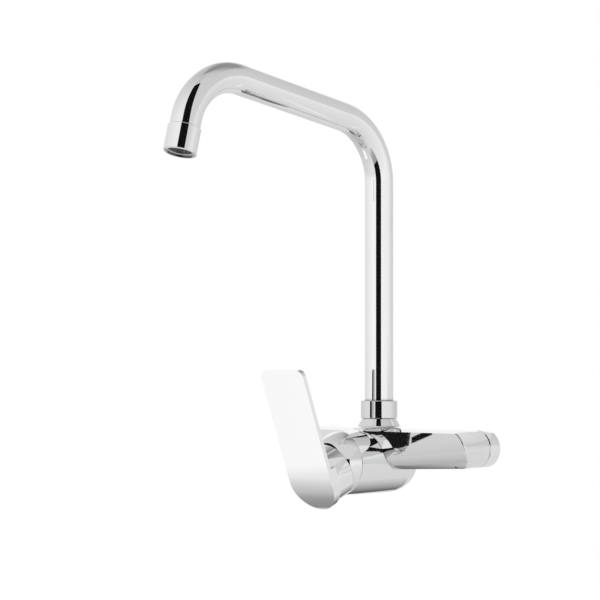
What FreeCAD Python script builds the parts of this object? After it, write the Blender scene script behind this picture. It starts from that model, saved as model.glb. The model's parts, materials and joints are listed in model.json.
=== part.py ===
import FreeCAD, Part

import math
import os
from types import SimpleNamespace

import Sketcher

# A wall mixer for a sink: one casting between two wall unions, a high swivelling spout
# and a single lever that works a ceramic cartridge. Millimetres and degrees.
# The wall plane is Y = 0, the user stands at -Y, Z is up, and Z = 0 is the height of
# both inlets. The origin is midway between them.

DRIVING_SIZES = {
    # wall unions and inlets
    "inlet_spacing": 150.0,
    "inlet_radius": 14.4,
    "inlet_neck_radius": 13.9,
    "union_nut_radius": 13.9,
    "inlet_start": 30.0,
    "union_length": 11.6,
    "union_seam": 0.4,
    "union_thread_radius": 12.06,
    "union_relief_radius": 12.4,
    "union_shoulder": 2.6,
    "nipple_radius": 9.75,
    "nipple_bore": 6.5,
    "nipple_depth": 15.5,
    "nipple_flange_radius": 11.8,
    "nipple_flange": 1.9,
    "washer_thickness": 2.0,
    "washer_bore": 7.2,
    "filter_thickness": 0.5,
    # arms of the casting
    "arm_front_middle": 61.0,
    "arm_front_inlet": 46.0,
    "arm_back": 22.0,
    "arm_top_middle": 14.6,
    "arm_top_inlet": 14.1,
    "arm_base_middle": 16.6,
    "arm_base_inlet": 13.7,
    "arm_lip_drop": 1.9,
    "arm_lip_width": 7.0,
    "arm_round_middle": 14.0,
    "arm_round_inlet": 23.0,
    "arm_front_tilt": 75.0,
    "arm_back_round": 3.0,
    "arm_nose_round": 1.2,
    # barrel of the casting, its axis and the lever's pivot on it
    "barrel_radius": 24.0,
    "barrel_drop": 10.9,
    "pivot_reach": 74.4,
    "barrel_face": -6.2,
    "barrel_back": 28.0,
    "barrel_edge": 0.3,
    # spout boss and nut
    "riser_reach": 36.0,
    "boss_foot_radius": 20.5,
    "boss_foot_height": 14.2,
    "boss_waist_radius": 16.5,
    "boss_waist_height": 16.2,
    "boss_flare_round": 5.0,
    "boss_top_radius": 13.3,
    "boss_top": 21.6,
    "boss_thread_radius": 12.0,
    "boss_thread_top": 30.5,
    "boss_bore": 9.0,
    "boss_bore_floor": 9.0,
    "spout_nut_radius": 14.0,
    "spout_nut_base": 21.8,
    "spout_nut_height": 13.5,
    "spout_nut_lip": 1.7,
    "nut_edge": 0.45,
    "slip_ring": 0.5,
    # spout tube
    "tube_radius": 11.0,
    "tube_wall": 1.2,
    "riser_height": 242.2,
    "spout_reach": 185.6,
    "run_rise": 8.0,
    "riser_bend": 47.5,
    "outlet_bend": 45.0,
    "outlet_tilt": 13.9,
    "leg_length": 64.0,
    "ferrule_collar": 1.9,
    "ferrule_collar_radius": 11.9,
    "ferrule_stub": 11.0,
    "ferrule_bore": 6.5,
    "ring_section": 0.8,
    "lower_ring_height": 14.2,
    "upper_ring_height": 20.2,
    # aerator
    "aerator_radius": 11.85,
    "aerator_length": 18.3,
    "aerator_spigot": 6.5,
    "aerator_throat": 8.6,
    "aerator_chamber": 10.3,
    "aerator_chamber_depth": 14.0,
    "aerator_recess": 2.0,
    "aerator_washer": 1.5,
    "insert_wall": 1.3,
    "grid_thickness": 2.0,
    "grid_hole": 0.85,
    "grid_pitch": 2.15,
    "screen_thickness": 0.5,
    "screen_hole": 0.6,
    # waterways in the casting
    "feed_radius": 4.0,
    "feed_reach": 32.0,
    "feed_drop": 9.5,
    "feed_end": 8.0,
    "port_radius": 3.4,
    "port_spread": 9.0,
    "port_drop": 3.5,
    "outlet_port_radius": 4.0,
    "outlet_port_rise": 7.5,
    "outlet_drill_reach": 33.0,
    # cartridge, measured back from the pivot
    "pocket_radius": 17.75,
    "pocket_depth": 33.0,
    "pocket_step": 13.7,
    "nut_thread_radius": 20.0,
    "dome_seat_radius": 21.5,
    "dome_seat_depth": 6.3,
    "housing_radius": 17.4,
    "housing_wall": 1.8,
    "housing_front": 13.5,
    "neck_front": 5.5,
    "neck_radius": 15.2,
    "neck_bore": 13.2,
    "base_thickness": 5.0,
    "seal_depth": 1.4,
    "seal_width": 1.3,
    "fixed_disc_thickness": 2.8,
    "fixed_disc_radius": 15.3,
    "moving_disc_thickness": 2.9,
    "moving_disc_radius": 10.6,
    "mixing_recess_radius": 8.2,
    "mixing_recess_depth": 1.2,
    "carrier_collar": 2.8,
    "carrier_plate": 3.2,
    "rotor_radius": 13.1,
    "rotor_front": 4.0,
    "rotor_flange_radius": 15.3,
    "rotor_flange": 3.1,
    "rotor_slot": 8.8,
    "slot_top": 10.6,
    "slot_bottom": 7.2,
    "pin_radius": 1.5,
    "pin_length": 24.6,
    "cartridge_nut_bore": 15.7,
    "cartridge_nut_length": 6.9,
    # dome cover
    "dome_radius": 24.6,
    "dome_inner_radius": 22.8,
    "dome_opening": 15.5,
    "dome_neck_wall": 1.4,
    "dome_neck_depth": 5.8,
    # lever, measured forward from the pivot
    "lever_tilt": 20.7,
    "ball_reach": 18.0,
    "ball_radius": 3.0,
    "ball_offset": 3.3,
    "stem_radius": 3.4,
    "stem_square": 8.0,
    "stem_square_start": 7.0,
    "stem_reach": 31.0,
    "lever_face": 38.75,
    "lever_plate": 3.2,
    "lever_half_width": 21.5,
    "lever_height": 88.0,
    "lever_corner": 5.0,
    "lever_drop": 1.2,
    "lever_bend_start": 4.0,
    "lever_bend": 80.0,
    "skirt_rear": 15.1,
    "skirt_rear_radius": 20.8,
    "skirt_front": 33.5,
    "skirt_front_radius": 21.1,
    "skirt_cavity_radius": 19.6,
    "skirt_cavity_front": 30.5,
    "skirt_lip": 0.75,
    "skirt_lip_depth": 5.0,
    "socket_boss_radius": 7.5,
    "socket_boss_rear": 24.5,
    "grub_reach": 27.5,
    "grub_radius": 2.45,
    "grub_length": 5.5,
    "plug_radius": 2.65,
    "plug_length": 2.0,
    # clearances
    "fit_gap": 0.05,
    "running_gap": 0.1,
}


class Size:
    """A size with the expression that ties it to the sheet."""

    def __init__(self, number, text):
        self.number = number
        self.text = text

    def __add__(self, other):
        return joined(self, "+", other, self.number + as_size(other).number)

    def __radd__(self, other):
        return as_size(other) + self

    def __sub__(self, other):
        return joined(self, "-", other, self.number - as_size(other).number)

    def __rsub__(self, other):
        return as_size(other) - self

    def __mul__(self, other):
        return joined(self, "*", other, self.number * as_size(other).number)

    def __rmul__(self, other):
        return as_size(other) * self

    def __truediv__(self, other):
        return joined(self, "/", other, self.number / as_size(other).number)

    def __neg__(self):
        return 0 - self


def as_size(value):
    if isinstance(value, Size):
        return value
    return Size(float(value), f"({float(value)})")


def joined(first, sign, second, number):
    return Size(number, f"({first.text} {sign} {as_size(second).text})")


def sine(angle):
    return Size(math.sin(math.radians(angle.number)), f"sin({angle.text})")


def cosine(angle):
    return Size(math.cos(math.radians(angle.number)), f"cos({angle.text})")


def tangent(angle):
    return Size(math.tan(math.radians(angle.number)), f"tan({angle.text})")


def root(size):
    return Size(math.sqrt(size.number), f"sqrt({size.text})")


def leg_of(long_side, short_side):
    """The third side of a right triangle."""
    return root(long_side * long_side - short_side * short_side)


def fill_sheet(doc):
    sheet = doc.addObject("Spreadsheet::Sheet", "dims")
    for row, (name, value) in enumerate(DRIVING_SIZES.items(), start=1):
        sheet.set(f"A{row}", name.replace("_", " "))
        sheet.set(f"B{row}", str(value))
        sheet.setAlias(f"B{row}", name)
    doc.recompute()
    return SimpleNamespace(**{name: Size(value, f"dims.{name}") for name, value in DRIVING_SIZES.items()})


doc = FreeCAD.newDocument("wall_mixer")
dim = fill_sheet(doc)
pieces = []


def bind(thing, path, size):
    thing.setExpression(path, as_size(size).text)


def placement_text(x, y, z, turn):
    spot = ";".join(as_size(part).text for part in (x, y, z))
    return f"placement(vector({spot});rotation(vector(1;0;0);{as_size(turn).text}))"


def place(thing, x=0, y=0, z=0, turn=0):
    """Puts a piece at x, y, z, turned about X."""
    thing.setExpression("Placement", placement_text(x, y, z, turn))


def new_body(label):
    body = doc.addObject("PartDesign::Body", label)
    body.Label = label
    body.AllowCompound = True
    pieces.append(body)
    return body


def origin_part(body, role):
    return next(item for item in body.Origin.OriginFeatures if item.Role == role)


def new_sketch(body, plane, shift=(0, 0, 0)):
    sketch = body.newObject("Sketcher::SketchObject", "sketch")
    sketch.AttachmentSupport = [(origin_part(body, plane), "")]
    sketch.MapMode = "FlatFace"
    for axis, amount in zip("xyz", shift):
        bind(sketch, f"AttachmentOffset.Base.{axis}", amount)
    return sketch


def pin_point(sketch, geometry, end, x, y):
    """Holds one end of a line or arc, or a circle's centre, at x, y."""
    for kind, amount in (("DistanceX", x), ("DistanceY", y)):
        size = as_size(amount)
        index = sketch.addConstraint(Sketcher.Constraint(kind, -1, 1, geometry, end, size.number))
        bind(sketch, f"Constraints[{index}]", size)


def pin_radius(sketch, geometry, radius):
    index = sketch.addConstraint(Sketcher.Constraint("Radius", geometry, abs(radius.number)))
    bind(sketch, f"Constraints[{index}]", radius)


def arc_geometry(start, finish, radius, leftward):
    """The short arc from start to finish, its centre to the left or the right."""
    chord = finish - start
    half = chord.Length / 2
    side = FreeCAD.Vector(-chord.y, chord.x, 0).normalize()
    if not leftward:
        side = -side
    centre = (start + finish) / 2 + side * math.sqrt(max(radius * radius - half * half, 0.0))
    first, last = (start, finish) if leftward else (finish, start)
    first_angle = math.atan2(first.y - centre.y, first.x - centre.x)
    last_angle = math.atan2(last.y - centre.y, last.x - centre.x)
    circle = Part.Circle(centre, FreeCAD.Vector(0, 0, 1), radius)
    return Part.ArcOfCircle(circle, first_angle, last_angle)


def draw(sketch, corners, closed=True):
    """Lines through the corners. A corner with a third value is reached by an arc of that
    radius, and a fourth value of "right" puts the arc's centre to the right."""
    spots = [FreeCAD.Vector(as_size(c[0]).number, as_size(c[1]).number, 0) for c in corners]
    count = len(corners) if closed else len(corners) - 1
    ends = []
    for index in range(count):
        target = corners[(index + 1) % len(corners)]
        start, finish = spots[index], spots[(index + 1) % len(corners)]
        if len(target) > 2:
            leftward = len(target) < 4
            radius = as_size(target[2])
            made = sketch.addGeometry(arc_geometry(start, finish, radius.number, leftward))
            ends.append((made, 1, 2) if leftward else (made, 2, 1))
            pin_radius(sketch, made, radius)
        else:
            made = sketch.addGeometry(Part.LineSegment(start, finish))
            ends.append((made, 1, 2))
    for index, (made, first, last) in enumerate(ends):
        pin_point(sketch, made, first, corners[index][0], corners[index][1])
        if closed or index + 1 < len(ends):
            follower = ends[(index + 1) % len(ends)]
            sketch.addConstraint(Sketcher.Constraint("Coincident", made, last, follower[0], follower[1]))
        else:
            pin_point(sketch, made, last, corners[-1][0], corners[-1][1])


def draw_circle(sketch, x, y, radius):
    centre = FreeCAD.Vector(as_size(x).number, as_size(y).number, 0)
    size = as_size(radius)
    made = sketch.addGeometry(Part.Circle(centre, FreeCAD.Vector(0, 0, 1), size.number))
    pin_point(sketch, made, 3, x, y)
    pin_radius(sketch, made, size)


def turn(body, along, at, corners, cut=False):
    """Revolves corners of (radius, distance along the axis), or cuts the same shape away.
    The axis runs along Y through at = (x, z), or along Z through at = (x, y)."""
    if along == "Y":
        sketch = new_sketch(body, "XY_Plane", (at[0], 0, at[1]))
    else:
        sketch = new_sketch(body, "XZ_Plane", (at[0], 0, -as_size(at[1])))
    draw(sketch, corners)
    feature = body.newObject("PartDesign::Groove" if cut else "PartDesign::Revolution", "turned")
    feature.Profile = sketch
    feature.ReferenceAxis = (sketch, ["V_Axis"])
    feature.Angle = 360
    return feature


def drill(body, along, at, radius, start, finish):
    corners = [(0, start), (radius, start), (radius, finish), (0, finish)]
    if along != "X":
        return turn(body, along, at, corners, cut=True)
    sketch = new_sketch(body, "XY_Plane", (0, at[0], at[1]))
    draw(sketch, [(corner[1], corner[0]) for corner in corners])
    feature = body.newObject("PartDesign::Groove", "drilled")
    feature.Profile = sketch
    feature.ReferenceAxis = (sketch, ["H_Axis"])
    feature.Angle = 360
    return feature


def pad(body, sketch, length):
    feature = body.newObject("PartDesign::Pad", "pad")
    feature.Profile = sketch
    bind(feature, "Length", length)
    return feature


def pocket(body, sketch, length):
    """Cuts against the sketch's normal: down from XY, towards the wall from XZ."""
    feature = body.newObject("PartDesign::Pocket", "pocket")
    feature.Profile = sketch
    bind(feature, "Length", length)
    return feature


def box_corners(left, right, low, high):
    return [(left, low), (right, low), (right, high), (left, high)]


def turned_piece(label, along, at, corners):
    body = new_body(label)
    turn(body, along, at, corners)
    return body


def ring_corners(inner, outer, low, high):
    return [(inner, low), (outer, low), (outer, high), (inner, high)]


def hole_rings(body, rings, pitch, radius, top, depth):
    """A middle hole and rings of six, twelve and more round it, down through a disc."""
    sketch = new_sketch(body, "XY_Plane", (0, 0, top))
    draw_circle(sketch, 0, 0, radius)
    pocket(body, sketch, depth)
    for ring in range(1, rings + 1):
        sketch = new_sketch(body, "XY_Plane", (0, 0, top))
        draw_circle(sketch, pitch * ring, 0, radius)
        hole = pocket(body, sketch, depth)
        doc.recompute()
        pattern = body.newObject("PartDesign::PolarPattern", "holes")
        pattern.Originals = [hole]
        pattern.Axis = (origin_part(body, "Z_Axis"), [""])
        pattern.Angle = 360
        pattern.Occurrences = 6 * ring
        body.Tip = pattern


half_spacing = dim.inlet_spacing / 2
riser_y = -dim.riser_reach
pivot_y = -dim.pivot_reach
barrel_z = -dim.barrel_drop
SIDES = (("left", -1), ("right", 1))


def at_pivot(body, tilt=0):
    place(body, 0, pivot_y, barrel_z, tilt)
    return body


# The casting

def arm_section(body, x, front, top, base, front_round):
    """The arm's outline at one place along X: flat top with a crisp front lip."""
    sketch = new_sketch(body, "YZ_Plane", (0, 0, x))
    back = -dim.arm_back
    rear_round = dim.arm_back_round
    draw(sketch, [
        (back - rear_round, -base),
        (back, rear_round - base, rear_round),
        (back, top - rear_round),
        (back - rear_round, top, rear_round),
        (dim.arm_lip_width - front, top),
        (-front, top - dim.arm_lip_drop),
        (-front, front_round * sine(dim.arm_front_tilt) - base),
        (front_round * (1 - cosine(dim.arm_front_tilt)) - front, -base, front_round),
    ])
    return sketch


def round_arm_end(body, side, radius):
    """Trims the arm's end to the outline of the round inlet behind it."""
    margin = 10
    centre = half_spacing * side
    far = (half_spacing + radius + margin) * side
    view = new_sketch(body, "XZ_Plane", (0, 0, dim.arm_front_middle + margin))
    outline = [(centre, radius + margin), (far, radius + margin), (far, -radius - margin),
               (centre, -radius - margin), (centre, -radius)]
    tip = (centre + radius * side, 0)
    if side > 0:
        draw(view, outline + [(*tip, radius), (centre, radius, radius)])
    else:
        draw(view, outline + [(*tip, radius, "right"), (centre, radius, radius, "right")])
    pocket(body, view, dim.arm_front_middle + margin)


def round_arm_noses(body, radius):
    """Rounds the edges where the arms' fronts meet the round ends."""
    doc.recompute()
    trimmed = body.Tip
    found = []
    for number, edge in enumerate(trimmed.Shape.Edges, start=1):
        middle = edge.valueAt((edge.FirstParameter + edge.LastParameter) / 2)
        beyond = abs(middle.x) - half_spacing.number
        on_end = abs(math.hypot(beyond, middle.z) - radius.number) < 0.02
        if on_end and beyond > 0 and middle.y < -dim.arm_back.number - 8:
            found.append(f"Edge{number}")
    nose = body.newObject("PartDesign::Fillet", "nose")
    nose.Base = (trimmed, found)
    bind(nose, "Radius", dim.arm_nose_round)
    body.Tip = nose


def make_casting():
    body = new_body("mixer_body")
    barrel_front = pivot_y + dim.barrel_face
    barrel_end = -dim.barrel_back
    barrel = dim.barrel_radius
    edge = dim.barrel_edge
    turn(body, "Y", (0, barrel_z), [
        (0, barrel_front),
        (barrel - edge, barrel_front),
        (barrel, barrel_front + edge),
        (barrel, barrel_end),
        (0, barrel_end + barrel, barrel),
    ])
    inlet = dim.inlet_radius
    reach = half_spacing + inlet
    share = reach / half_spacing
    end_front = dim.arm_front_middle - (dim.arm_front_middle - dim.arm_front_inlet) * share
    for side in (-1, 1):
        middle = arm_section(body, 0, dim.arm_front_middle, dim.arm_top_middle, dim.arm_base_middle,
                             dim.arm_round_middle)
        outer = arm_section(body, reach * side, end_front, dim.arm_top_inlet, dim.arm_base_inlet,
                            dim.arm_round_inlet)
        arm = body.newObject("PartDesign::AdditiveLoft", "arm")
        arm.Profile = middle
        arm.Sections = [outer]
        arm.Ruled = True
        round_arm_end(body, side, inlet)
    round_arm_noses(body, inlet)
    seam = dim.union_length + dim.union_seam
    neck = dim.inlet_neck_radius
    for side in (-1, 1):
        turn(body, "Y", (half_spacing * side, 0), [
            (0, -dim.inlet_start),
            (neck, -dim.inlet_start),
            (neck, -seam - dim.nut_edge),
            (neck - dim.nut_edge, -seam),
            (0, -seam),
        ])
    turn(body, "Z", (0, riser_y), [
        (0, dim.boss_bore_floor / 2),
        (dim.boss_foot_radius, dim.boss_bore_floor / 2),
        (dim.boss_foot_radius, dim.boss_foot_height),
        (dim.boss_waist_radius, dim.boss_waist_height, dim.boss_flare_round, "right"),
        (dim.boss_top_radius, dim.boss_top),
        (dim.boss_thread_radius, dim.boss_top),
        (dim.boss_thread_radius, dim.boss_thread_top),
        (0, dim.boss_thread_top),
    ])
    cut_waterways(body, seam)


def cut_waterways(body, seam):
    """The stepped cartridge pocket, the spout bore and the drilled passages."""
    mouth = pivot_y + dim.barrel_face - 1
    floor = pivot_y + dim.pocket_depth
    step = pivot_y + dim.pocket_step
    seat = pivot_y + dim.dome_seat_depth
    turn(body, "Y", (0, barrel_z), [
        (0, mouth),
        (dim.dome_seat_radius, mouth),
        (dim.dome_seat_radius, seat),
        (dim.nut_thread_radius, seat),
        (dim.nut_thread_radius, step),
        (dim.pocket_radius, step),
        (dim.pocket_radius, floor),
        (0, floor),
    ], cut=True)
    drill(body, "Z", (0, riser_y), dim.boss_bore, dim.boss_bore_floor, dim.boss_thread_top + 1)
    outlet_z = barrel_z + dim.outlet_port_rise
    drill_y = -dim.outlet_drill_reach
    drill(body, "Z", (0, drill_y), dim.outlet_port_radius, outlet_z - dim.outlet_port_radius,
          dim.boss_bore_floor + 1)
    drill(body, "Y", (0, outlet_z), dim.outlet_port_radius, floor - 1, drill_y)
    feed_z = -dim.feed_drop
    feed_y = -dim.feed_reach
    nipple_hole = dim.nipple_radius + dim.fit_gap
    nipple_floor = -seam - dim.nipple_depth
    for side in (-1, 1):
        drill(body, "Y", (half_spacing * side, 0), nipple_hole, nipple_floor, 1)
        drill(body, "Y", (half_spacing * side, 0), dim.nipple_bore, feed_y - dim.feed_radius * 2,
              nipple_floor + 1)
        drill(body, "X", (feed_y, feed_z), dim.feed_radius, dim.feed_end * side, half_spacing * side)
        drill(body, "Y", (dim.port_spread * side, barrel_z - dim.port_drop), dim.port_radius,
              floor - 1, feed_y)


make_casting()


# Wall unions

def make_union(side_name, side):
    x = half_spacing * side
    nut = dim.union_nut_radius
    edge = dim.nut_edge
    shoulder = dim.union_shoulder - dim.union_length
    hole = dim.nipple_radius + dim.running_gap
    flange_back = shoulder + dim.running_gap + dim.nipple_flange
    washer_back = flange_back + dim.washer_thickness
    turned_piece(f"union_nut_{side_name}", "Y", (x, 0), [
        (hole, -dim.union_length),
        (nut - edge, -dim.union_length),
        (nut, edge - dim.union_length),
        (nut, -edge),
        (nut - edge, 0),
        (dim.union_thread_radius, 0),
        (dim.union_thread_radius, washer_back),
        (dim.union_relief_radius, washer_back),
        (dim.union_relief_radius, shoulder),
        (hole, shoulder),
    ])
    nipple_start = -dim.union_length - dim.union_seam - dim.nipple_depth
    turned_piece(f"inlet_nipple_{side_name}", "Y", (x, 0), [
        (dim.nipple_bore, nipple_start),
        (dim.nipple_radius, nipple_start),
        (dim.nipple_radius, shoulder + dim.running_gap),
        (dim.nipple_flange_radius, shoulder + dim.running_gap),
        (dim.nipple_flange_radius, flange_back),
        (dim.nipple_bore, flange_back),
    ])
    turned_piece(f"inlet_washer_{side_name}", "Y", (x, 0), ring_corners(
        dim.washer_bore, dim.nipple_flange_radius, flange_back, washer_back
    ))
    mesh = turned_piece(f"inlet_filter_{side_name}", "Z", (0, 0), [
        (0, 0),
        (dim.washer_bore - dim.fit_gap, 0),
        (dim.washer_bore - dim.fit_gap, dim.filter_thickness),
        (0, dim.filter_thickness),
    ])
    hole_rings(mesh, 3, dim.grid_pitch * 0.9, dim.screen_hole, dim.filter_thickness, dim.filter_thickness)
    place(mesh, x, flange_back + dim.filter_thickness, 0, -90)


for side_name, side in SIDES:
    make_union(side_name, side)


# Swivel joint of the spout

nut_top = dim.spout_nut_base + dim.spout_nut_height
collar_base = dim.boss_thread_top + dim.slip_ring + dim.running_gap
collar_top = collar_base + dim.ferrule_collar
nut_ceiling = nut_top - dim.spout_nut_lip
tube_hole = dim.tube_radius + dim.running_gap
tube_bore = dim.tube_radius - dim.tube_wall


def make_swivel():
    nut = dim.spout_nut_radius
    edge = dim.nut_edge
    thread = dim.boss_thread_radius + dim.fit_gap
    turned_piece("spout_nut", "Z", (0, riser_y), [
        (thread, dim.spout_nut_base),
        (nut - edge, dim.spout_nut_base),
        (nut, dim.spout_nut_base + edge),
        (nut, nut_top - edge),
        (nut - edge, nut_top),
        (tube_hole, nut_top),
        (tube_hole, nut_ceiling),
        (thread, nut_ceiling),
    ])
    rings = new_body("spout_slip_rings")
    turn(rings, "Z", (0, riser_y), ring_corners(
        dim.boss_bore, dim.ferrule_collar_radius, dim.boss_thread_top, dim.boss_thread_top + dim.slip_ring
    ))
    turn(rings, "Z", (0, riser_y), ring_corners(
        tube_hole, dim.ferrule_collar_radius, nut_ceiling - dim.slip_ring, nut_ceiling
    ))
    plug = dim.boss_bore - dim.running_gap
    groove = plug - dim.ring_section * 2
    lower, upper, half = dim.lower_ring_height, dim.upper_ring_height, dim.ring_section * 1.5
    turned_piece("spout_ferrule", "Z", (0, riser_y), [
        (dim.ferrule_bore, dim.boss_bore_floor + 1),
        (plug, dim.boss_bore_floor + 1),
        (plug, lower - half),
        (groove, lower - half),
        (groove, lower + half),
        (plug, lower + half),
        (plug, upper - half),
        (groove, upper - half),
        (groove, upper + half),
        (plug, upper + half),
        (plug, collar_base),
        (dim.ferrule_collar_radius, collar_base),
        (dim.ferrule_collar_radius, collar_top),
        (tube_bore - dim.fit_gap, collar_top),
        (tube_bore - dim.fit_gap, collar_top + dim.ferrule_stub),
        (dim.ferrule_bore, collar_top + dim.ferrule_stub),
    ])
    seals = doc.addObject("Part::Compound", "spout_o_rings")
    seals.Label = "spout_o_rings"
    links = []
    for height in (lower, upper):
        ring = doc.addObject("Part::Torus", "o_ring")
        bind(ring, "Radius1", groove + dim.ring_section)
        bind(ring, "Radius2", dim.ring_section)
        place(ring, 0, riser_y, height)
        links.append(ring)
    seals.Links = links
    pieces.append(seals)


make_swivel()


# Spout tube, bent twice in one plane

corner_y = riser_y - dim.spout_reach
corner_z = dim.riser_height + dim.spout_reach * tangent(dim.run_rise)


def make_tube():
    body = new_body("spout_tube")
    place(body, 0, riser_y, 0)
    rise, tilt = dim.run_rise, dim.outlet_tilt
    riser_cut = dim.riser_bend * tangent((90 - rise) / 2)
    outlet_cut = dim.outlet_bend * tangent((90 + rise - tilt) / 2)
    run_y, run_z = -cosine(rise), sine(rise)
    leg_y, leg_z = -sine(tilt), -cosine(tilt)
    turn_y, turn_z = -dim.spout_reach, corner_z
    leg_end = dim.leg_length - dim.aerator_length
    path = new_sketch(body, "YZ_Plane")
    draw(path, [
        (0, collar_top),
        (0, dim.riser_height - riser_cut),
        (run_y * riser_cut, dim.riser_height + run_z * riser_cut, dim.riser_bend),
        (turn_y - run_y * outlet_cut, turn_z - run_z * outlet_cut),
        (turn_y + leg_y * outlet_cut, turn_z + leg_z * outlet_cut, dim.outlet_bend),
        (turn_y + leg_y * leg_end, turn_z + leg_z * leg_end),
    ], closed=False)
    section = new_sketch(body, "XY_Plane", (0, 0, collar_top))
    draw_circle(section, 0, 0, dim.tube_radius)
    draw_circle(section, 0, 0, tube_bore)
    doc.recompute()
    pipe = body.newObject("PartDesign::AdditivePipe", "pipe")
    pipe.Profile = section
    pipe.Spine = path


make_tube()


# Aerator, along the outlet leg: heights are negative below the corner of the tube

def on_leg(body):
    place(body, 0, corner_y, corner_z, -dim.outlet_tilt)
    return body


def make_aerator():
    mouth = -dim.leg_length
    seam = dim.aerator_length - dim.leg_length
    ceiling = dim.aerator_chamber_depth - dim.leg_length
    sleeve = dim.aerator_radius
    edge = dim.nut_edge
    spigot = tube_bore - dim.fit_gap
    on_leg(turned_piece("aerator_housing", "Z", (0, 0), [
        (dim.aerator_throat, seam + dim.aerator_spigot),
        (dim.aerator_throat, ceiling),
        (dim.aerator_chamber, ceiling),
        (dim.aerator_chamber, mouth),
        (sleeve - edge, mouth),
        (sleeve, mouth + edge),
        (sleeve, seam - edge),
        (sleeve - edge, seam),
        (spigot, seam),
        (spigot, seam + dim.aerator_spigot),
    ]))
    insert = dim.aerator_chamber - dim.running_gap
    insert_top = ceiling - dim.aerator_washer
    insert_base = mouth + dim.aerator_recess
    inner = insert - dim.insert_wall
    on_leg(turned_piece("aerator_washer", "Z", (0, 0), ring_corners(
        dim.aerator_throat, insert, insert_top, ceiling
    )))
    on_leg(turned_piece("aerator_insert", "Z", (0, 0), ring_corners(inner, insert, insert_base, insert_top)))
    disc = inner - dim.fit_gap
    grid = turned_piece("aerator_grid", "Z", (0, 0), ring_corners(0, disc, 0, dim.grid_thickness))
    hole_rings(grid, 3, dim.grid_pitch, dim.grid_hole, dim.grid_thickness, dim.grid_thickness)
    grid_base = dim.leg_length - dim.aerator_recess
    place(grid, 0, corner_y - sine(dim.outlet_tilt) * grid_base,
          corner_z - cosine(dim.outlet_tilt) * grid_base, -dim.outlet_tilt)
    screen = turned_piece("aerator_screen", "Z", (0, 0), ring_corners(0, disc, 0, dim.screen_thickness))
    hole_rings(screen, 3, dim.grid_pitch, dim.screen_hole, dim.screen_thickness, dim.screen_thickness)
    screen_base = -insert_top + dim.screen_thickness
    place(screen, 0, corner_y - sine(dim.outlet_tilt) * screen_base,
          corner_z - cosine(dim.outlet_tilt) * screen_base, -dim.outlet_tilt)


make_aerator()


# Cartridge: every piece is placed at the lever's pivot, and its Y runs back from there

base_front = dim.pocket_depth - dim.base_thickness
fixed_front = base_front - dim.fixed_disc_thickness
moving_back = fixed_front - dim.fit_gap
moving_front = moving_back - dim.moving_disc_thickness
carrier_front = moving_front - dim.carrier_plate
housing_bore = dim.housing_radius - dim.housing_wall
flange_front = dim.housing_front + dim.housing_wall + dim.running_gap * 3
flange_back = flange_front + dim.rotor_flange
ball_height = dim.ball_reach * sine(dim.lever_tilt)
disc_height = ball_height - dim.ball_offset
PORTS = (
    (-dim.port_spread, -dim.port_drop, dim.port_radius),
    (dim.port_spread, -dim.port_drop, dim.port_radius),
    (0, dim.outlet_port_rise, dim.outlet_port_radius),
)


def make_fixed_cartridge():
    nut_back = dim.housing_front
    nut = at_pivot(turned_piece("cartridge_nut", "Y", (0, 0), ring_corners(
        dim.cartridge_nut_bore, dim.nut_thread_radius - dim.fit_gap, nut_back - dim.cartridge_nut_length, nut_back
    )))
    notch = new_sketch(nut, "XZ_Plane", (0, 0, dim.cartridge_nut_length + 1 - nut_back))
    draw(notch, box_corners(dim.cartridge_nut_bore - 2, dim.cartridge_nut_bore + 2, -2, 2))
    slot = pocket(nut, notch, 4)
    doc.recompute()
    notches = nut.newObject("PartDesign::PolarPattern", "notches")
    notches.Originals = [slot]
    notches.Axis = (origin_part(nut, "Y_Axis"), [""])
    notches.Angle = 360
    notches.Occurrences = 6
    nut.Tip = notches
    at_pivot(turned_piece("cartridge_housing", "Y", (0, 0), [
        (dim.neck_bore, dim.neck_front),
        (dim.neck_radius, dim.neck_front),
        (dim.neck_radius, dim.housing_front),
        (dim.housing_radius, dim.housing_front),
        (dim.housing_radius, base_front),
        (housing_bore, base_front),
        (housing_bore, dim.housing_front + dim.housing_wall),
        (dim.neck_bore, dim.housing_front + dim.housing_wall),
    ]))
    base = at_pivot(turned_piece("cartridge_base", "Y", (0, 0), ring_corners(
        0, dim.housing_radius, base_front, dim.pocket_depth
    )))
    disc = at_pivot(turned_piece("fixed_disc", "Y", (0, 0), ring_corners(
        0, dim.fixed_disc_radius, fixed_front, base_front
    )))
    seals = at_pivot(new_body("base_seals"))
    seal_front = dim.pocket_depth - dim.seal_depth
    rings = new_sketch(seals, "XZ_Plane", (0, 0, -dim.pocket_depth))
    for x, z, radius in PORTS:
        drill(base, "Y", (x, z), radius, base_front - 1, dim.pocket_depth + 1)
        drill(base, "Y", (x, z), radius + dim.seal_width + dim.fit_gap * 2, seal_front, dim.pocket_depth + 1)
        drill(disc, "Y", (x, z), radius, fixed_front - 1, base_front + 1)
        draw_circle(rings, x, z, radius + dim.fit_gap)
        draw_circle(rings, x, z, radius + dim.seal_width + dim.fit_gap)
    pad(seals, rings, dim.seal_depth)


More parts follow.
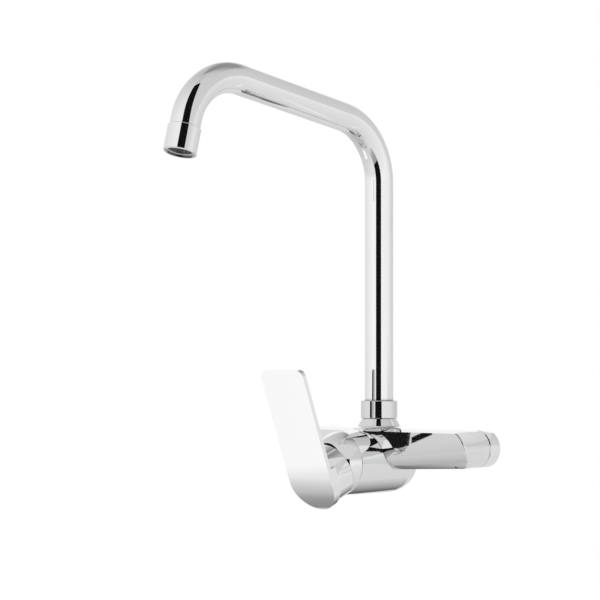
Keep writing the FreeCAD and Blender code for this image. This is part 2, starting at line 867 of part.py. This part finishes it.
def make_moving_cartridge():
    disc = at_pivot(turned_piece("moving_disc", "Y", (0, disc_height), ring_corners(
        0, dim.moving_disc_radius, moving_front, moving_back
    )))
    drill(disc, "Y", (0, disc_height), dim.mixing_recess_radius,
          moving_back - dim.mixing_recess_depth, moving_back + 1)
    carrier = at_pivot(turned_piece("disc_carrier", "Y", (0, disc_height), ring_corners(
        0, dim.moving_disc_radius, carrier_front, moving_front
    )))
    socket = dim.ball_radius + dim.running_gap
    wall = dim.ball_radius * 0.6
    collar = new_sketch(carrier, "XZ_Plane", (0, 0, -carrier_front))
    draw(collar, box_corners(-socket - wall, socket + wall, ball_height - socket - wall,
                             ball_height + socket + wall))
    pad(carrier, collar, dim.carrier_collar)
    mouth = new_sketch(carrier, "XZ_Plane", (0, 0, dim.carrier_collar - carrier_front + 1))
    draw(mouth, box_corners(-socket, socket, ball_height - socket, ball_height + socket))
    pocket(carrier, mouth, dim.carrier_collar + 1 + dim.ball_reach + dim.ball_radius - carrier_front
           + dim.running_gap)
    rotor = at_pivot(new_body("cartridge_rotor"))
    turn(rotor, "Y", (0, 0), [
        (0, -dim.rotor_front),
        (dim.rotor_radius, -dim.rotor_front),
        (dim.rotor_radius, flange_front),
        (dim.rotor_flange_radius, flange_front),
        (dim.rotor_flange_radius, flange_back),
        (0, flange_back),
    ])
    slot = new_sketch(rotor, "XZ_Plane", (0, 0, dim.rotor_front + 1))
    draw(slot, box_corners(-dim.rotor_slot / 2, dim.rotor_slot / 2, -dim.slot_bottom, dim.slot_top))
    pocket(rotor, slot, dim.rotor_front + 1 + flange_front + 1)
    window = new_sketch(rotor, "XZ_Plane", (0, 0, -flange_front))
    side = socket + wall + dim.running_gap * 4
    draw(window, box_corners(-side, side, -side, dim.slot_top + wall))
    pocket(rotor, window, dim.rotor_flange + 1)
    drill(rotor, "X", (0, 0), dim.pin_radius + dim.fit_gap / 2, -dim.rotor_radius - 1, dim.rotor_radius + 1)
    pin = doc.addObject("Part::Cylinder", "stem_pin")
    pin.Label = "stem_pin"
    bind(pin, "Radius", dim.pin_radius)
    bind(pin, "Height", dim.pin_length)
    spot = f"vector({(-dim.pin_length / 2).text};{pivot_y.text};{barrel_z.text})"
    pin.setExpression("Placement", f"placement({spot};rotation(vector(0;1;0);90))")
    pieces.append(pin)


make_fixed_cartridge()
make_moving_cartridge()


# Dome that closes the barrel and guides the lever's skirt

def make_dome():
    outer, inner, opening = dim.dome_radius, dim.dome_inner_radius, dim.dome_opening
    neck = dim.dome_seat_radius - dim.running_gap
    neck_bore = neck - dim.dome_neck_wall
    at_pivot(turned_piece("dome_cover", "Y", (0, 0), [
        (opening, -leg_of(outer, opening)),
        (leg_of(outer, dim.barrel_face), dim.barrel_face, outer),
        (neck, dim.barrel_face),
        (neck, dim.dome_neck_depth),
        (neck_bore, dim.dome_neck_depth),
        (neck_bore, -leg_of(inner, neck_bore)),
        (opening, -leg_of(inner, opening), inner, "right"),
    ]))


make_dome()


# Lever: built closed, with its plate upright, and tilted as a whole

def make_stem():
    stem = at_pivot(new_body("lever_stem"), dim.lever_tilt)
    neck = dim.ball_radius * 0.8
    neck_back = dim.ball_reach - leg_of(dim.ball_radius, neck)
    turn(stem, "Y", (0, 0), [
        (0, -dim.stem_square_start),
        (dim.stem_radius, -dim.stem_square_start),
        (dim.stem_radius, dim.stem_square_start),
        (neck, dim.stem_square_start + dim.stem_radius),
        (neck, neck_back),
        (0, dim.ball_reach + dim.ball_radius, dim.ball_radius),
    ])
    square = new_sketch(stem, "XZ_Plane", (0, 0, dim.stem_square_start))
    half = dim.stem_square / 2
    draw(square, box_corners(-half, half, -half, half))
    pad(stem, square, dim.stem_reach - dim.stem_square_start)
    drill(stem, "X", (0, 0), dim.pin_radius + dim.fit_gap, -dim.stem_radius - 1, dim.stem_radius + 1)


def make_handle():
    handle = at_pivot(new_body("lever_handle"), dim.lever_tilt)
    half, face, bend = dim.lever_half_width, dim.lever_face, dim.lever_bend
    drop = dim.lever_drop
    low = half + drop
    sag = bend - leg_of(bend, low + dim.lever_bend_start)
    plate_back = dim.lever_plate - face
    side_view = new_sketch(handle, "YZ_Plane", (0, 0, -half))
    draw(side_view, [
        (-face, dim.lever_height),
        (-face, dim.lever_bend_start),
        (sag - face, -low, bend),
        (-dim.skirt_cavity_front, -low),
        (-dim.skirt_cavity_front, half / 2),
        (plate_back, half / 2),
        (plate_back, dim.lever_height),
    ])
    pad(handle, side_view, half * 2)
    margin = 10
    corner = dim.lever_corner
    front_view = new_sketch(handle, "XZ_Plane", (0, 0, face + margin))
    draw(front_view, box_corners(-half - margin, half + margin, -half - margin, dim.lever_height + margin))
    draw(front_view, [
        (half, -drop, half),
        (half, dim.lever_height - corner),
        (half - corner, dim.lever_height, corner),
        (corner - half, dim.lever_height),
        (-half, dim.lever_height - corner, corner),
        (-half, -drop),
        (0, -low, half),
    ])
    pocket(handle, front_view, face + margin - dim.skirt_cavity_front + 1)
    lip = dim.skirt_rear_radius - dim.skirt_lip
    turn(handle, "Y", (0, 0), [
        (lip, -dim.skirt_rear),
        (dim.skirt_rear_radius, -dim.skirt_rear),
        (dim.skirt_front_radius, -dim.skirt_front),
        (0, -dim.skirt_front),
        (0, -dim.skirt_cavity_front),
        (dim.skirt_cavity_radius, -dim.skirt_cavity_front),
        (dim.skirt_cavity_radius, -dim.skirt_rear - dim.skirt_lip_depth),
    ])
    turn(handle, "Y", (0, 0), ring_corners(
        0, dim.socket_boss_radius, -dim.skirt_cavity_front - 1, -dim.socket_boss_rear
    ))
    socket = dim.stem_square / 2 + dim.fit_gap
    hole = new_sketch(handle, "XZ_Plane", (0, 0, dim.stem_reach + dim.fit_gap))
    draw(hole, box_corners(-socket, socket, -socket, socket))
    pocket(handle, hole, dim.stem_reach - dim.socket_boss_rear + 1)
    grub_y = -dim.grub_reach
    grub_hole = dim.grub_radius + dim.fit_gap
    drill(handle, "Z", (0, grub_y), grub_hole, -dim.socket_boss_radius - 1, 0)
    drill(handle, "Z", (0, grub_y), dim.plug_radius + dim.fit_gap, -half - margin, -dim.socket_boss_radius - 1)
    return handle


def make_grub_and_plug():
    grub = at_pivot(new_body("lever_screw"), dim.lever_tilt)
    top = -dim.stem_square / 2 - dim.fit_gap
    grub_y = -dim.grub_reach
    base = top - dim.grub_length
    turn(grub, "Z", (0, grub_y), ring_corners(0, dim.grub_radius, base, top))
    key = dim.grub_radius / 2
    flat = key * math.sqrt(3) / 2
    hexagon = new_sketch(grub, "XY_Plane", (0, grub_y, base + dim.grub_length / 2))
    draw(hexagon, [(key, 0), (key / 2, flat), (-key / 2, flat), (-key, 0), (-key / 2, -flat), (key / 2, -flat)])
    pocket(grub, hexagon, dim.grub_length)
    share = (dim.grub_reach - dim.skirt_rear) / (dim.skirt_front - dim.skirt_rear)
    skin = dim.skirt_rear_radius - (dim.skirt_rear_radius - dim.skirt_front_radius) * share
    plug = at_pivot(new_body("screw_plug"), dim.lever_tilt)
    turn(plug, "Z", (0, grub_y), ring_corners(0, dim.plug_radius, -skin, dim.plug_length - skin))


make_stem()
make_handle()
make_grub_and_plug()


# Checks, then one STEP file for each piece

def faults():
    doc.recompute()
    found = []
    for item in doc.Objects:
        if "Invalid" in item.State or "Error" in item.State:
            found.append(f"{item.Label}: {item.State}")
    for piece in pieces:
        if piece.Shape.isNull() or not piece.Shape.isValid():
            found.append(f"{piece.Label}: no valid shape")
    return found


problems = faults()
if problems:
    raise RuntimeError("; ".join(problems))

os.makedirs("parts", exist_ok=True)
for piece in pieces:
    piece.Shape.exportStep(f"parts/{piece.Label}.step")
    print(f"{piece.Label}: {len(piece.Shape.Solids)} solid, {piece.Shape.Volume / 1000:.3f} cm3")
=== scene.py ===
import json
import math

import bmesh
import bpy
from mathutils import Matrix, Vector

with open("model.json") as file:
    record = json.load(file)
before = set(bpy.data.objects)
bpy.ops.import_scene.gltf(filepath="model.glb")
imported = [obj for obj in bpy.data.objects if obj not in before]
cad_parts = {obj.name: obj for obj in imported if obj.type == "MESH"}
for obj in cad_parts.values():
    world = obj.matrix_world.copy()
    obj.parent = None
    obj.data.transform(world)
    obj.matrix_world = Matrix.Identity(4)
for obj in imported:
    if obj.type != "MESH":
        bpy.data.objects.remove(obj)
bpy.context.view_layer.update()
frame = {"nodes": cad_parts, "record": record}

nodes = frame["nodes"]


# Shader nodes

def blank_material(name):
    material = bpy.data.materials.new(name)
    material.use_nodes = True
    tree = material.node_tree
    return material, tree, tree.nodes["Principled BSDF"]


def wire(tree, kind, inputs=(), **settings):
    """A node with its settings and its inputs, each a value or another node's socket."""
    node = tree.nodes.new(kind)
    for name, value in settings.items():
        setattr(node, name, value)
    for name, value in dict(inputs).items():
        if isinstance(value, bpy.types.NodeSocket):
            tree.links.new(value, node.inputs[name])
        else:
            node.inputs[name].default_value = value
    return node


def grey(level):
    return (level, level, level, 1.0)


def reckon(tree, operation, first, second=0.0):
    return wire(tree, "ShaderNodeMath", {0: first, 1: second}, operation=operation).outputs["Value"]


def spread(tree, value, low, high):
    """The value, from 0 to 1, spread between low and high."""
    limits = {"Value": value, "To Min": low, "To Max": high}
    return wire(tree, "ShaderNodeMapRange", limits).outputs["Result"]


def share_of(tree, value, low, high, **settings):
    """0 where the value is low or less, 1 where it is high or more, and rising between."""
    limits = {"Value": value, "From Min": low, "From Max": high}
    return wire(tree, "ShaderNodeMapRange", limits, **settings).outputs["Result"]


def mix_colours(tree, factor, first, second):
    """The first colour where the factor is 0, the second where it is 1."""
    colours = {"Factor": factor, "A": first, "B": second}
    return wire(tree, "ShaderNodeMix", colours, data_type="RGBA").outputs["Result"]


def grey_ramp(tree, share, levels):
    """Greys by the share, from a level at 0 to a level at 1."""
    ramp = wire(tree, "ShaderNodeValToRGB", {"Fac": share})
    marks = ramp.color_ramp.elements
    for place, level in levels[1:-1]:
        marks.new(place).color = grey(level)
    marks[0].color = grey(levels[0][1])
    marks[-1].color = grey(levels[-1][1])
    return ramp.outputs["Color"]


def place_on_object(tree):
    return wire(tree, "ShaderNodeTexCoord").outputs["Object"]


def noise(tree, scale, detail=2.0):
    pattern = {"Vector": place_on_object(tree), "Scale": scale, "Detail": detail}
    return wire(tree, "ShaderNodeTexNoise", pattern).outputs["Fac"]


def two_tones(tree, factor, first, second):
    return mix_colours(tree, factor, (*first, 1.0), (*second, 1.0))


# Finishes

# Chrome: its two tones, and how deep into a corner its painted corner shade reaches, in metres
CHROMES = {
    "polished_chrome": {"tones": ((0.92, 0.922, 0.926), (0.945, 0.947, 0.95)), "corner_shade_reach": 0.003},
    "cast_chrome": {"tones": ((0.865, 0.868, 0.873), (0.89, 0.892, 0.896)), "corner_shade_reach": 0.0022},
    "nut_chrome": {"tones": ((0.775, 0.778, 0.783), (0.80, 0.802, 0.806)), "corner_shade_reach": 0.003},
}
# The least and the greatest roughness of its haze
CHROME_HAZE = (0.018, 0.05)
# The painted corner shade's tone, and how open a corner is where this painted shade is darkest and where
# it ends
CHROME_CORNER_SHADE_TONE = 0.05
CHROME_CORNER_SHADE_LIMITS = (0.42, 0.78)

# Fine grain: its scale and detail, how far the roughness sways with it, its depth in metres, and the
# scale of the two tones
GRAINS = {
    "turned_metal": {"metallic": 1.0, "scale": 900.0, "detail": 2.0, "sway": 0.08, "depth": 0.00001,
                     "tone_scale": 60.0},
    "moulded": {"metallic": 0.0, "scale": 1400.0, "detail": 3.0, "sway": 0.06, "depth": 0.00002,
                "tone_scale": 80.0},
}
GRAINED_FINISHES = {
    "raw_brass": ("turned_metal", 0.3, ((0.62, 0.42, 0.16), (0.74, 0.54, 0.25))),
    "steel": ("turned_metal", 0.25, ((0.52, 0.52, 0.51), (0.62, 0.62, 0.61))),
    "ceramic": ("moulded", 0.15, ((0.83, 0.81, 0.77), (0.89, 0.88, 0.85))),
    "dark_plastic": ("moulded", 0.45, ((0.045, 0.045, 0.05), (0.06, 0.06, 0.065))),
    "pale_plastic": ("moulded", 0.42, ((0.72, 0.72, 0.7), (0.8, 0.8, 0.78))),
    "black_rubber": ("moulded", 0.6, ((0.02, 0.02, 0.02), (0.035, 0.035, 0.035))),
}

# Nodes whose chrome is a little duller than the tubes'
DULLER = {"mixer_body": "cast_chrome", "dome_cover": "cast_chrome", "spout_nut": "nut_chrome"}


def polished(name, tones, corner_shade_reach):
    """Chrome with a slight haze, and with painted shade darkening its colour in corners where faces
    meet.
    """
    material, tree, shader = blank_material(name)
    shader.inputs["Metallic"].default_value = 1.0
    haze = noise(tree, scale=45.0, detail=3.0)
    tree.links.new(spread(tree, haze, *CHROME_HAZE), shader.inputs["Roughness"])
    polish = two_tones(tree, noise(tree, scale=18.0, detail=1.0), *tones)
    # Painted shade: where faces meet in a corner, the colour darkens towards the dark corner tone
    corner = wire(tree, "ShaderNodeAmbientOcclusion", {"Distance": corner_shade_reach}, samples=8).outputs["AO"]
    unshaded_share = share_of(tree, corner, *CHROME_CORNER_SHADE_LIMITS)
    tone = mix_colours(tree, unshaded_share, grey(CHROME_CORNER_SHADE_TONE), polish)
    tree.links.new(tone, shader.inputs["Base Color"])
    return material


def grained(name, kind, roughness, tones):
    """Turned metal or a moulded face, whose fine grain sways its roughness and its relief."""
    look = GRAINS[kind]
    material, tree, shader = blank_material(name)
    shader.inputs["Metallic"].default_value = look["metallic"]
    grain = noise(tree, look["scale"], look["detail"])
    rough = spread(tree, grain, roughness - look["sway"], roughness + look["sway"])
    tree.links.new(rough, shader.inputs["Roughness"])
    tone = two_tones(tree, noise(tree, look["tone_scale"]), *tones)
    tree.links.new(tone, shader.inputs["Base Color"])
    relief = wire(tree, "ShaderNodeBump", {"Height": grain, "Distance": look["depth"], "Strength": 1.0})
    tree.links.new(relief.outputs["Normal"], shader.inputs["Normal"])
    return material


finishes = {name: polished(name, **look) for name, look in CHROMES.items()}
for name, look in GRAINED_FINISHES.items():
    finishes[name] = grained(name, *look)

for part in frame["record"]["subparts"]:
    node = nodes[part["node"]]
    node.data.materials.clear()
    node.data.materials.append(finishes[DULLER.get(part["node"], part["material_slot"])])


# The studio's world: a pale tent with a white and a dark screen, which the chrome shows

# The level of the tent's walls by elevation. Elevations, and azimuths from -Y towards +X, are in degrees
TENT = {
    "left": ((-90, 0.5), (-72, 0.58), (-60, 0.65), (-40, 0.71), (-20, 0.81), (-10, 0.80), (0, 0.95),
             (12, 0.99), (22, 0.92), (50, 0.80), (70, 0.68), (90, 0.6)),
    "right": ((-90, 0.5), (-60, 0.72), (-30, 0.79), (-10, 0.84), (0, 0.93), (8, 0.9), (16, 0.66),
              (60, 0.63), (90, 0.5)),
    "rear": ((-90, 0.45), (-72, 0.55), (-55, 0.72), (-25, 0.75), (0, 0.69), (25, 0.64), (42, 0.6),
             (50, 0.3), (90, 0.26)),
}
# Where the left and right walls stand before the rear one: their azimuths, the softness of their edges,
# and how their level changes from one azimuth to another
SECTORS = {
    "left": {"sides": (-135.0, 40.0), "edge": 20.0, "reach": (-110.0, -5.0), "gains": (0.77, 1.0)},
    "right": {"sides": (40.0, 138.0), "edge": 28.0, "reach": (60.0, 138.0), "gains": (1.03, 0.96)},
}
# Screens in the tent: azimuths, elevations, softness, level, and whether only a reflection of a
# reflection shows them
SCREENS = (
    {"sides": (-165.0, -112.0), "heights": (-2.0, 36.0), "edge": 3.0, "level": 1.0, "twice": False},
    {"sides": (-178.0, -125.0), "heights": (24.0, 70.0), "edge": 6.0, "level": 0.01, "twice": True},
)
# The ray depth that only a ray reflected twice exceeds in the world
TWICE_REFLECTED = 2.5
WHITE = grey(1.0)


def soft_band(tree, value, low, high, edge):
    """1 between low and high, falling to 0 over the edge."""
    rise = share_of(tree, value, low - edge, low + edge, interpolation_type="SMOOTHSTEP")
    fall = share_of(tree, value, high - edge, high + edge, interpolation_type="SMOOTHSTEP")
    return reckon(tree, "SUBTRACT", rise, fall)


def tent_wall(tree, elevation, levels):
    share = share_of(tree, elevation, -90.0, 90.0)
    return grey_ramp(tree, share, [((degrees + 90.0) / 180.0, level) for degrees, level in levels])


def tent_sector(tree, azimuth, elevation, levels, reach, gains):
    """A wall of the tent whose level changes from one azimuth to another."""
    gain = spread(tree, share_of(tree, azimuth, *reach), *gains)
    wall = {"Vector": tent_wall(tree, elevation, levels), "Scale": gain}
    return wire(tree, "ShaderNodeVectorMath", wall, operation="SCALE").outputs["Vector"]


def studio_world():
    """The tent for reflections, and plain white for all other rays."""
    world = bpy.data.worlds.new("studio")
    world.use_nodes = True
    bpy.context.scene.world = world
    tree = world.node_tree
    way = wire(tree, "ShaderNodeTexCoord").outputs["Generated"]
    axes = wire(tree, "ShaderNodeSeparateXYZ", {"Vector": way}).outputs
    forward = reckon(tree, "MULTIPLY", axes["Y"], -1.0)
    azimuth = reckon(tree, "DEGREES", reckon(tree, "ARCTAN2", axes["X"], forward))
    elevation = reckon(tree, "DEGREES", reckon(tree, "ARCSINE", axes["Z"]))
    tent = tent_wall(tree, elevation, TENT["rear"])
    for name, sector in SECTORS.items():
        mask = soft_band(tree, azimuth, *sector["sides"], sector["edge"])
        wall = tent_sector(tree, azimuth, elevation, TENT[name], sector["reach"], sector["gains"])
        tent = mix_colours(tree, mask, tent, wall)
    rays = wire(tree, "ShaderNodeLightPath").outputs
    again = reckon(tree, "GREATER_THAN", rays["Ray Depth"], TWICE_REFLECTED)
    for screen in SCREENS:
        across = soft_band(tree, azimuth, *screen["sides"], screen["edge"])
        upright = soft_band(tree, elevation, *screen["heights"], screen["edge"])
        mask = reckon(tree, "MULTIPLY", across, upright)
        if screen["twice"]:
            mask = reckon(tree, "MULTIPLY", mask, again)
        tent = mix_colours(tree, mask, tent, grey(screen["level"]))
    shader = tree.nodes["Background"]
    tree.links.new(mix_colours(tree, rays["Is Glossy Ray"], WHITE, tent), shader.inputs["Color"])
    shader.inputs["Strength"].default_value = 1.0


# The studio's floor, cards, panels and camera

FLOOR_HALF_WIDTH = 4.0
FLOOR_HEIGHT = -0.6
FLOOR_TONES = ((0.99, 0.99, 0.99), (1.0, 1.0, 1.0))
FLOOR_GLOW = 0.03

# Black cards, which only the chrome shows: two lower corners, the height, and the distances between
# which a card shows, in metres
BLACK_CARDS = {
    "front_card": {"start": (0.165, -0.555, -0.04), "end": (0.475, -0.333, -0.04), "rise": 1.24,
                   "shows": (0.0, 9.0)},
    "side_card": {"start": (0.0205, -0.129, 0.0006), "end": (0.0375, -0.129, 0.0078), "rise": 0.005,
                  "shows": (0.066, 0.11)},
}
CARD_TONES = ((0.004, 0.004, 0.004), (0.008, 0.008, 0.008))

# Grey panels, which only the chrome shows, and only from one side: middle in metres, the way one looks
# to see it as azimuth and elevation, roll in degrees, half width and half height in metres, and its
# levels by the share of its height
PANELS = {
    "lever_panel": {
        "middle": (-0.229, -0.254, -0.196), "way": (-55.0, -30.5), "roll": -30.0, "half": (0.100, 0.160),
        "levels": ((0.0, 0.27), (0.13, 0.31), (0.22, 0.38), (0.307, 0.53), (0.39, 0.61), (0.48, 0.72),
                   (0.560, 0.86), (0.573, 0.93), (0.590, 1.0), (1.0, 1.0)),
    },
    "arm_panel": {
        "middle": (-0.012, -0.305, -0.122), "way": (-17.0, 0.0), "roll": 0.0, "half": (0.075, 0.130),
        "levels": ((0.0, 0.64), (0.5, 0.67), (1.0, 0.71)),
    },
    "dome_panel": {
        "middle": (0.0625, -0.129, 0.027), "way": (-43.0, 90.0), "roll": 0.0, "half": (0.055, 0.030),
        "levels": ((0.0, 0.72), (1.0, 0.72)),
    },
    "front_foot_panel": {
        "middle": (0.32, -0.444, -0.24), "way": (35.6, 0.0), "roll": 0.0, "half": (0.191, 0.200),
        "levels": ((0.0, 0.6), (0.5, 0.4), (1.0, 0.33)),
    },
    "low_panel": {
        "middle": (-0.04, 0.04, -0.12), "way": (90.0, -90.0), "roll": 0.0, "half": (0.070, 0.100),
        "levels": ((0.0, 0.12), (0.3, 0.12), (0.5, 0.22), (0.7, 0.42), (0.9, 0.62), (1.0, 0.70)),
    },
    "nose_panel": {
        "middle": (0.112, 0.0225, 0.060), "way": (180.0, 0.0), "roll": 0.0, "half": (0.055, 0.028),
        "levels": ((0.0, 0.71), (0.4, 0.78), (1.0, 0.86)),
    },
}

CAMERA_PLACE = (0.874, -0.997, 0.0597)
CAMERA_TURN = (90.0, 0.0, 44.95)


def stage_object(name, bm, material):
    mesh = bpy.data.meshes.new(name)
    bm.to_mesh(mesh)
    bm.free()
    mesh.materials.append(material)
    thing = bpy.data.objects.new(name, mesh)
    bpy.context.collection.objects.link(thing)
    return thing


def show_to_chrome_only(card):
    card.visible_camera = False
    card.visible_diffuse = False
    card.visible_shadow = False
    card.visible_transmission = False


def studio_floor():
    """A white floor well below the mixer, which reflections leave out."""
    bm = bmesh.new()
    bmesh.ops.create_grid(bm, x_segments=1, y_segments=1, size=FLOOR_HALF_WIDTH)
    bmesh.ops.translate(bm, verts=bm.verts, vec=(0.0, 0.0, FLOOR_HEIGHT))
    material, tree, shader = blank_material("studio_floor")
    shader.inputs["Roughness"].default_value = 0.9
    tree.links.new(two_tones(tree, noise(tree, scale=3.0), *FLOOR_TONES), shader.inputs["Base Color"])
    shader.inputs["Emission Color"].default_value = WHITE
    shader.inputs["Emission Strength"].default_value = FLOOR_GLOW
    floor = stage_object("studio_floor", bm, material)
    floor.visible_glossy = False


def black_card(name, start, end, rise, shows):
    material, tree, shader = blank_material(name)
    shader.inputs["Roughness"].default_value = 1.0
    shader.inputs["Specular IOR Level"].default_value = 0.0
    tree.links.new(two_tones(tree, noise(tree, scale=4.0), *CARD_TONES), shader.inputs["Base Color"])
    distance = wire(tree, "ShaderNodeLightPath").outputs["Ray Length"]
    beyond = reckon(tree, "GREATER_THAN", distance, shows[0])
    within = reckon(tree, "LESS_THAN", distance, shows[1])
    tree.links.new(reckon(tree, "MULTIPLY", beyond, within), shader.inputs["Alpha"])
    bm = bmesh.new()
    edge = bm.edges.new((bm.verts.new(start), bm.verts.new(end)))
    raised = bmesh.ops.extrude_edge_only(bm, edges=[edge])["geom"]
    tops = [item for item in raised if isinstance(item, bmesh.types.BMVert)]
    bmesh.ops.translate(bm, verts=tops, vec=(0.0, 0.0, rise))
    show_to_chrome_only(stage_object(name, bm, material))


def grey_panel(name, middle, way, roll, half, levels):
    azimuth, elevation = (math.radians(degrees) for degrees in way)
    half_width, half_height = half
    facing = Matrix.Rotation(azimuth, 4, "Z") @ Matrix.Rotation(math.pi / 2 - elevation, 4, "X")
    place = Matrix.Translation(middle) @ facing @ Matrix.Rotation(math.radians(roll), 4, "Z")
    bm = bmesh.new()
    bmesh.ops.create_grid(bm, x_segments=1, y_segments=1, size=1.0)
    bmesh.ops.scale(bm, verts=bm.verts, vec=(half_width, half_height, 1.0))
    bmesh.ops.transform(bm, verts=bm.verts, matrix=place)
    material, tree, shader = blank_material(name)
    up = place.to_3x3() @ Vector((0.0, 1.0, 0.0))
    along = {0: place_on_object(tree), 1: up}
    rise = wire(tree, "ShaderNodeVectorMath", along, operation="DOT_PRODUCT").outputs["Value"]
    centre = Vector(middle).dot(up)
    share = share_of(tree, rise, centre - half_height, centre + half_height)
    shader.inputs["Base Color"].default_value = grey(0.0)
    shader.inputs["Specular IOR Level"].default_value = 0.0
    tree.links.new(grey_ramp(tree, share, levels), shader.inputs["Emission Color"])
    shader.inputs["Emission Strength"].default_value = 1.0
    tree.links.new(wire(tree, "ShaderNodeNewGeometry").outputs["Backfacing"], shader.inputs["Alpha"])
    show_to_chrome_only(stage_object(name, bm, material))


def studio_camera():
    camera = bpy.data.objects.new("camera", bpy.data.cameras.new("camera"))
    bpy.context.collection.objects.link(camera)
    camera.data.sensor_width = 36.0
    camera.data.lens = 102.0
    camera.data.shift_y = 0.114
    camera.data.clip_start = 0.05
    camera.data.clip_end = 20.0
    camera.location = CAMERA_PLACE
    camera.rotation_euler = [math.radians(degrees) for degrees in CAMERA_TURN]
    bpy.context.scene.camera = camera


studio_world()
studio_floor()
for name, card in BLACK_CARDS.items():
    black_card(name, **card)
for name, panel in PANELS.items():
    grey_panel(name, **panel)
studio_camera()
bpy.context.scene.view_settings.view_transform = "Standard"
